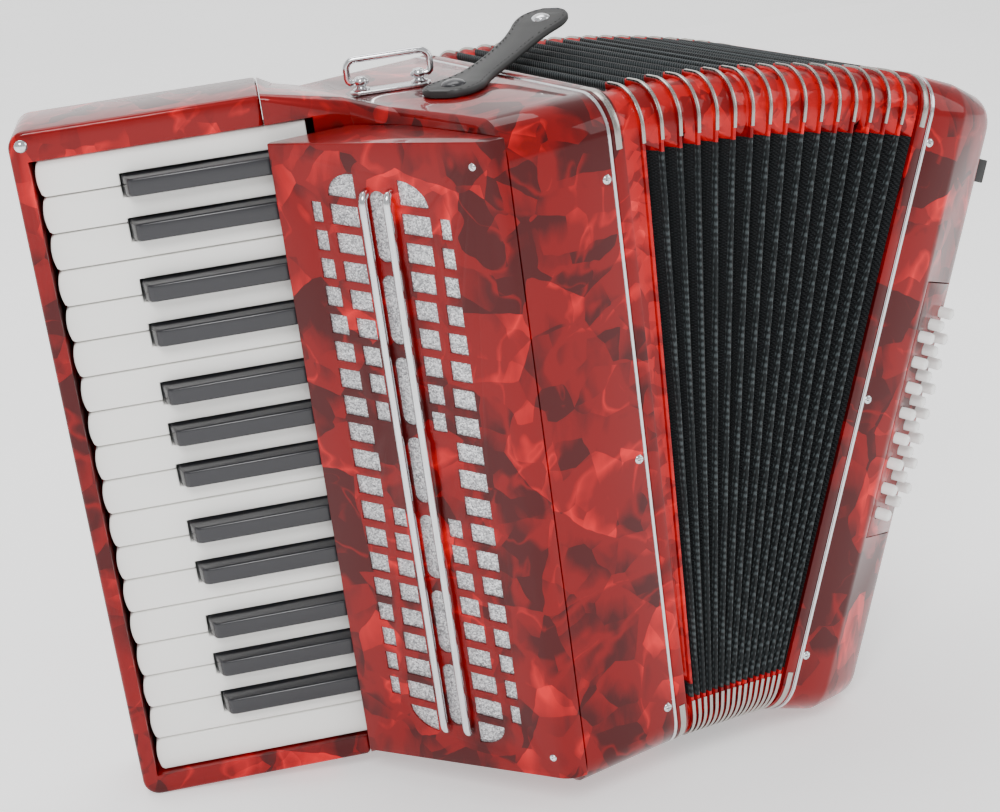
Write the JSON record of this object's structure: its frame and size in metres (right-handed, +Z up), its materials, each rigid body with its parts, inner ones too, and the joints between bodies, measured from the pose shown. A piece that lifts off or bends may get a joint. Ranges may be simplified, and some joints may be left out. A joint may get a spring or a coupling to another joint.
{
  "type": "piano accordion",
  "caption": "Piano accordion standing half fanned: hinged keys under a slotted grille, chained bellows sections, sprung bass buttons, swinging bracket loop and swivelling closing strap.",
  "frame": {"origin": "centre of the bounding box on the floor", "axes": "+X from the keyboard side to the bass side, +Y to the back, +Z up"},
  "size_m": [0.5112, 0.2086, 0.3985],
  "materials": {
    "red_celluloid": "polished, marbled pearl",
    "key_white": "gloss",
    "key_black": "gloss",
    "button_white": "gloss",
    "glitter_cloth": "silver glitter",
    "chrome": "polished",
    "bellows_cloth": "taped cardboard with cloth edges",
    "black_leather": "smooth, stitched",
    "reed_wood": "plain"
  },
  "bodies": {
    "treble": {"treble_casing": "red_celluloid", "keyboard_frame": "red_celluloid", "grille_cover": "red_celluloid", "grille_cloth": "glitter_cloth", "grille_rod_left": "chrome", "grille_rod_right": "chrome", "treble_reed_block": "reed_wood", "treble_bellows_frame": "red_celluloid", "key_axle": "chrome", "strap_bracket": "chrome"},
    "bellows_1": {"bellows_section_1": "bellows_cloth"},
    "bellows_2": {"bellows_section_2": "bellows_cloth"},
    "bellows_3": {"bellows_section_3": "bellows_cloth"},
    "bellows_4": {"bellows_section_4": "bellows_cloth"},
    "bass": {"bass_bellows_frame": "red_celluloid", "bass_casing": "red_celluloid", "bass_button_plate": "red_celluloid", "bass_reed_block": "reed_wood", "bass_strap": "black_leather"},
    "bellows_strap": {"bellows_strap": "black_leather"},
    "bail": {"strap_bail": "chrome"},
    "air": {"air_button": "chrome"},
    "bass_row_1": {"bass_button_row_1": "button_white"},
    "bass_row_2": {"bass_button_row_2": "button_white"},
    "bass_row_3": {"bass_button_row_3": "button_white"},
    "bass_row_4": {"bass_button_row_4": "button_white"},
    "bass_row_5": {"bass_button_row_5": "button_white"},
    "bass_row_6": {"bass_button_row_6": "button_white"},
    "bass_row_7": {"bass_button_row_7": "button_white"},
    "bass_row_8": {"bass_button_row_8": "button_white"},
    "key_a3": {"key_a3": "key_white"},
    "key_a3_sharp": {"key_a3_sharp": "key_black"},
    "key_a4": {"key_a4": "key_white"},
    "key_a4_sharp": {"key_a4_sharp": "key_black"},
    "key_a5": {"key_a5": "key_white"},
    "key_a5_sharp": {"key_a5_sharp": "key_black"},
    "key_b3": {"key_b3": "key_white"},
    "key_b4": {"key_b4": "key_white"},
    "key_b5": {"key_b5": "key_white"},
    "key_c4": {"key_c4": "key_white"},
    "key_c4_sharp": {"key_c4_sharp": "key_black"},
    "key_c5": {"key_c5": "key_white"},
    "key_c5_sharp": {"key_c5_sharp": "key_black"},
    "key_c6": {"key_c6": "key_white"},
    "key_d4": {"key_d4": "key_white"},
    "key_d4_sharp": {"key_d4_sharp": "key_black"},
    "key_d5": {"key_d5": "key_white"},
    "key_d5_sharp": {"key_d5_sharp": "key_black"},
    "key_e4": {"key_e4": "key_white"},
    "key_e5": {"key_e5": "key_white"},
    "key_f4": {"key_f4": "key_white"},
    "key_f4_sharp": {"key_f4_sharp": "key_black"},
    "key_f5": {"key_f5": "key_white"},
    "key_f5_sharp": {"key_f5_sharp": "key_black"},
    "key_g3": {"key_g3": "key_white"},
    "key_g3_sharp": {"key_g3_sharp": "key_black"},
    "key_g4": {"key_g4": "key_white"},
    "key_g4_sharp": {"key_g4_sharp": "key_black"},
    "key_g5": {"key_g5": "key_white"},
    "key_g5_sharp": {"key_g5_sharp": "key_black"}
  },
  "joints": [
    {"name": "bellows_fan", "type": "hinge", "parent": "bellows_4", "child": "bass", "pos_m": [0.07916, -0.0004, 0.01809], "axis": [0, 1, 0], "range_deg": [-4.54, 2.4]},
    {"name": "bellows_strap_swivel", "type": "hinge", "parent": "treble", "child": "bellows_strap", "pos_m": [-0.05003, -0.01885, 0.37074], "axis": [-0.0865, 0, 0.9963], "range_deg": [-40, 28]},
    {"name": "bail_swing", "type": "hinge", "parent": "treble", "child": "bail", "pos_m": [-0.06601, 0.0201, 0.37568], "axis": [0.9101, -0.4067, 0.079], "range_deg": [-75, 75]},
    {"name": "air_button_press", "type": "slide", "parent": "bass", "child": "air", "axis": [-0.9525, 0, 0.3047], "range_m": [0, 0.003], "stiffness_N_per_m": 150, "springref_m": -0.004},
    {"name": "bass_row_1_press", "type": "slide", "parent": "bass", "child": "bass_row_1", "axis": [-0.4472, 0.8829, 0.143], "range_m": [0, 0.0035], "stiffness_N_per_m": 120, "springref_m": -0.004},
    {"name": "bass_row_2_press", "type": "slide", "parent": "bass", "child": "bass_row_2", "axis": [-0.4472, 0.8829, 0.143], "range_m": [0, 0.0035], "stiffness_N_per_m": 120, "springref_m": -0.004},
    {"name": "bass_row_3_press", "type": "slide", "parent": "bass", "child": "bass_row_3", "axis": [-0.4472, 0.8829, 0.143], "range_m": [0, 0.0035], "stiffness_N_per_m": 120, "springref_m": -0.004},
    {"name": "bass_row_4_press", "type": "slide", "parent": "bass", "child": "bass_row_4", "axis": [-0.4472, 0.8829, 0.143], "range_m": [0, 0.0035], "stiffness_N_per_m": 120, "springref_m": -0.004},
    {"name": "bass_row_5_press", "type": "slide", "parent": "bass", "child": "bass_row_5", "axis": [-0.4472, 0.8829, 0.143], "range_m": [0, 0.0035], "stiffness_N_per_m": 120, "springref_m": -0.004},
    {"name": "bass_row_6_press", "type": "slide", "parent": "bass", "child": "bass_row_6", "axis": [-0.4472, 0.8829, 0.143], "range_m": [0, 0.0035], "stiffness_N_per_m": 120, "springref_m": -0.004},
    {"name": "bass_row_7_press", "type": "slide", "parent": "bass", "child": "bass_row_7", "axis": [-0.4472, 0.8829, 0.143], "range_m": [0, 0.0035], "stiffness_N_per_m": 120, "springref_m": -0.004},
    {"name": "bass_row_8_press", "type": "slide", "parent": "bass", "child": "bass_row_8", "axis": [-0.4472, 0.8829, 0.143], "range_m": [0, 0.0035], "stiffness_N_per_m": 120, "springref_m": -0.004},
    {"name": "key_a3_press", "type": "hinge", "parent": "treble", "child": "key_a3", "pos_m": [-0.10977, 0.01621, 0.18638], "axis": [0.0865, 0, -0.9963], "range_deg": [0, 1.9], "stiffness_Nm_per_rad": 1, "springref_deg": -4.58},
    {"name": "key_a3_sharp_press", "type": "hinge", "parent": "treble", "child": "key_a3_sharp", "pos_m": [-0.10977, 0.01621, 0.18638], "axis": [0.0865, 0, -0.9963], "range_deg": [0, 1.9], "stiffness_Nm_per_rad": 1, "springref_deg": -4.58},
    {"name": "key_a4_press", "type": "hinge", "parent": "treble", "child": "key_a4", "pos_m": [-0.10977, 0.01621, 0.18638], "axis": [0.0865, 0, -0.9963], "range_deg": [0, 1.9], "stiffness_Nm_per_rad": 1, "springref_deg": -4.58},
    {"name": "key_a4_sharp_press", "type": "hinge", "parent": "treble", "child": "key_a4_sharp", "pos_m": [-0.10977, 0.01621, 0.18638], "axis": [0.0865, 0, -0.9963], "range_deg": [0, 1.9], "stiffness_Nm_per_rad": 1, "springref_deg": -4.58},
    {"name": "key_a5_press", "type": "hinge", "parent": "treble", "child": "key_a5", "pos_m": [-0.10977, 0.01621, 0.18638], "axis": [0.0865, 0, -0.9963], "range_deg": [0, 1.9], "stiffness_Nm_per_rad": 1, "springref_deg": -4.58},
    {"name": "key_a5_sharp_press", "type": "hinge", "parent": "treble", "child": "key_a5_sharp", "pos_m": [-0.10977, 0.01621, 0.18638], "axis": [0.0865, 0, -0.9963], "range_deg": [0, 1.9], "stiffness_Nm_per_rad": 1, "springref_deg": -4.58},
    {"name": "key_b3_press", "type": "hinge", "parent": "treble", "child": "key_b3", "pos_m": [-0.10977, 0.01621, 0.18638], "axis": [0.0865, 0, -0.9963], "range_deg": [0, 1.9], "stiffness_Nm_per_rad": 1, "springref_deg": -4.58},
    {"name": "key_b4_press", "type": "hinge", "parent": "treble", "child": "key_b4", "pos_m": [-0.10977, 0.01621, 0.18638], "axis": [0.0865, 0, -0.9963], "range_deg": [0, 1.9], "stiffness_Nm_per_rad": 1, "springref_deg": -4.58},
    {"name": "key_b5_press", "type": "hinge", "parent": "treble", "child": "key_b5", "pos_m": [-0.10977, 0.01621, 0.18638], "axis": [0.0865, 0, -0.9963], "range_deg": [0, 1.9], "stiffness_Nm_per_rad": 1, "springref_deg": -4.58},
    {"name": "key_c4_press", "type": "hinge", "parent": "treble", "child": "key_c4", "pos_m": [-0.10977, 0.01621, 0.18638], "axis": [0.0865, 0, -0.9963], "range_deg": [0, 1.9], "stiffness_Nm_per_rad": 1, "springref_deg": -4.58},
    {"name": "key_c4_sharp_press", "type": "hinge", "parent": "treble", "child": "key_c4_sharp", "pos_m": [-0.10977, 0.01621, 0.18638], "axis": [0.0865, 0, -0.9963], "range_deg": [0, 1.9], "stiffness_Nm_per_rad": 1, "springref_deg": -4.58},
    {"name": "key_c5_press", "type": "hinge", "parent": "treble", "child": "key_c5", "pos_m": [-0.10977, 0.01621, 0.18638], "axis": [0.0865, 0, -0.9963], "range_deg": [0, 1.9], "stiffness_Nm_per_rad": 1, "springref_deg": -4.58},
    {"name": "key_c5_sharp_press", "type": "hinge", "parent": "treble", "child": "key_c5_sharp", "pos_m": [-0.10977, 0.01621, 0.18638], "axis": [0.0865, 0, -0.9963], "range_deg": [0, 1.9], "stiffness_Nm_per_rad": 1, "springref_deg": -4.58},
    {"name": "key_c6_press", "type": "hinge", "parent": "treble", "child": "key_c6", "pos_m": [-0.10977, 0.01621, 0.18638], "axis": [0.0865, 0, -0.9963], "range_deg": [0, 1.9], "stiffness_Nm_per_rad": 1, "springref_deg": -4.58},
    {"name": "key_d4_press", "type": "hinge", "parent": "treble", "child": "key_d4", "pos_m": [-0.10977, 0.01621, 0.18638], "axis": [0.0865, 0, -0.9963], "range_deg": [0, 1.9], "stiffness_Nm_per_rad": 1, "springref_deg": -4.58},
    {"name": "key_d4_sharp_press", "type": "hinge", "parent": "treble", "child": "key_d4_sharp", "pos_m": [-0.10977, 0.01621, 0.18638], "axis": [0.0865, 0, -0.9963], "range_deg": [0, 1.9], "stiffness_Nm_per_rad": 1, "springref_deg": -4.58},
    {"name": "key_d5_press", "type": "hinge", "parent": "treble", "child": "key_d5", "pos_m": [-0.10977, 0.01621, 0.18638], "axis": [0.0865, 0, -0.9963], "range_deg": [0, 1.9], "stiffness_Nm_per_rad": 1, "springref_deg": -4.58},
    {"name": "key_d5_sharp_press", "type": "hinge", "parent": "treble", "child": "key_d5_sharp", "pos_m": [-0.10977, 0.01621, 0.18638], "axis": [0.0865, 0, -0.9963], "range_deg": [0, 1.9], "stiffness_Nm_per_rad": 1, "springref_deg": -4.58},
    {"name": "key_e4_press", "type": "hinge", "parent": "treble", "child": "key_e4", "pos_m": [-0.10977, 0.01621, 0.18638], "axis": [0.0865, 0, -0.9963], "range_deg": [0, 1.9], "stiffness_Nm_per_rad": 1, "springref_deg": -4.58},
    {"name": "key_e5_press", "type": "hinge", "parent": "treble", "child": "key_e5", "pos_m": [-0.10977, 0.01621, 0.18638], "axis": [0.0865, 0, -0.9963], "range_deg": [0, 1.9], "stiffness_Nm_per_rad": 1, "springref_deg": -4.58},
    {"name": "key_f4_press", "type": "hinge", "parent": "treble", "child": "key_f4", "pos_m": [-0.10977, 0.01621, 0.18638], "axis": [0.0865, 0, -0.9963], "range_deg": [0, 1.9], "stiffness_Nm_per_rad": 1, "springref_deg": -4.58},
    {"name": "key_f4_sharp_press", "type": "hinge", "parent": "treble", "child": "key_f4_sharp", "pos_m": [-0.10977, 0.01621, 0.18638], "axis": [0.0865, 0, -0.9963], "range_deg": [0, 1.9], "stiffness_Nm_per_rad": 1, "springref_deg": -4.58},
    {"name": "key_f5_press", "type": "hinge", "parent": "treble", "child": "key_f5", "pos_m": [-0.10977, 0.01621, 0.18638], "axis": [0.0865, 0, -0.9963], "range_deg": [0, 1.9], "stiffness_Nm_per_rad": 1, "springref_deg": -4.58},
    {"name": "key_f5_sharp_press", "type": "hinge", "parent": "treble", "child": "key_f5_sharp", "pos_m": [-0.10977, 0.01621, 0.18638], "axis": [0.0865, 0, -0.9963], "range_deg": [0, 1.9], "stiffness_Nm_per_rad": 1, "springref_deg": -4.58},
    {"name": "key_g3_press", "type": "hinge", "parent": "treble", "child": "key_g3", "pos_m": [-0.10977, 0.01621, 0.18638], "axis": [0.0865, 0, -0.9963], "range_deg": [0, 1.9], "stiffness_Nm_per_rad": 1, "springref_deg": -4.58},
    {"name": "key_g3_sharp_press", "type": "hinge", "parent": "treble", "child": "key_g3_sharp", "pos_m": [-0.10977, 0.01621, 0.18638], "axis": [0.0865, 0, -0.9963], "range_deg": [0, 1.9], "stiffness_Nm_per_rad": 1, "springref_deg": -4.58},
    {"name": "key_g4_press", "type": "hinge", "parent": "treble", "child": "key_g4", "pos_m": [-0.10977, 0.01621, 0.18638], "axis": [0.0865, 0, -0.9963], "range_deg": [0, 1.9], "stiffness_Nm_per_rad": 1, "springref_deg": -4.58},
    {"name": "key_g4_sharp_press", "type": "hinge", "parent": "treble", "child": "key_g4_sharp", "pos_m": [-0.10977, 0.01621, 0.18638], "axis": [0.0865, 0, -0.9963], "range_deg": [0, 1.9], "stiffness_Nm_per_rad": 1, "springref_deg": -4.58},
    {"name": "key_g5_press", "type": "hinge", "parent": "treble", "child": "key_g5", "pos_m": [-0.10977, 0.01621, 0.18638], "axis": [0.0865, 0, -0.9963], "range_deg": [0, 1.9], "stiffness_Nm_per_rad": 1, "springref_deg": -4.58},
    {"name": "key_g5_sharp_press", "type": "hinge", "parent": "treble", "child": "key_g5_sharp", "pos_m": [-0.10977, 0.01621, 0.18638], "axis": [0.0865, 0, -0.9963], "range_deg": [0, 1.9], "stiffness_Nm_per_rad": 1, "springref_deg": -4.58},
    {"name": "bellows_fold_1", "type": "hinge", "parent": "treble", "child": "bellows_1", "pos_m": [0.04178, -0.0004, 0.01859], "axis": [0, 1, 0], "range_deg": [-4.84, 2.7], "deforming": ["bellows_section_1"]},
    {"name": "bellows_fold_2", "type": "hinge", "parent": "bellows_1", "child": "bellows_2", "pos_m": [0.05484, -0.0004, 0.01842], "axis": [0, 1, 0], "range_deg": [-4.84, 2.7], "deforming": ["bellows_section_2"]},
    {"name": "bellows_fold_3", "type": "hinge", "parent": "bellows_2", "child": "bellows_3", "pos_m": [0.0674, -0.0004, 0.01825], "axis": [0, 1, 0], "range_deg": [-4.84, 2.7], "deforming": ["bellows_section_3"]},
    {"name": "bellows_fold_4", "type": "hinge", "parent": "bellows_3", "child": "bellows_4", "pos_m": [0.07916, -0.0004, 0.01809], "axis": [0, 1, 0], "range_deg": [-4.84, 2.7], "deforming": ["bellows_section_4"]}
  ],
  "couplings": [
    {"joint": "bellows_fold_1", "follows": "bellows_fan", "ratio": 1},
    {"joint": "bellows_fold_2", "follows": "bellows_fan", "ratio": 1},
    {"joint": "bellows_fold_3", "follows": "bellows_fan", "ratio": 1},
    {"joint": "bellows_fold_4", "follows": "bellows_fan", "ratio": 1}
  ]
}
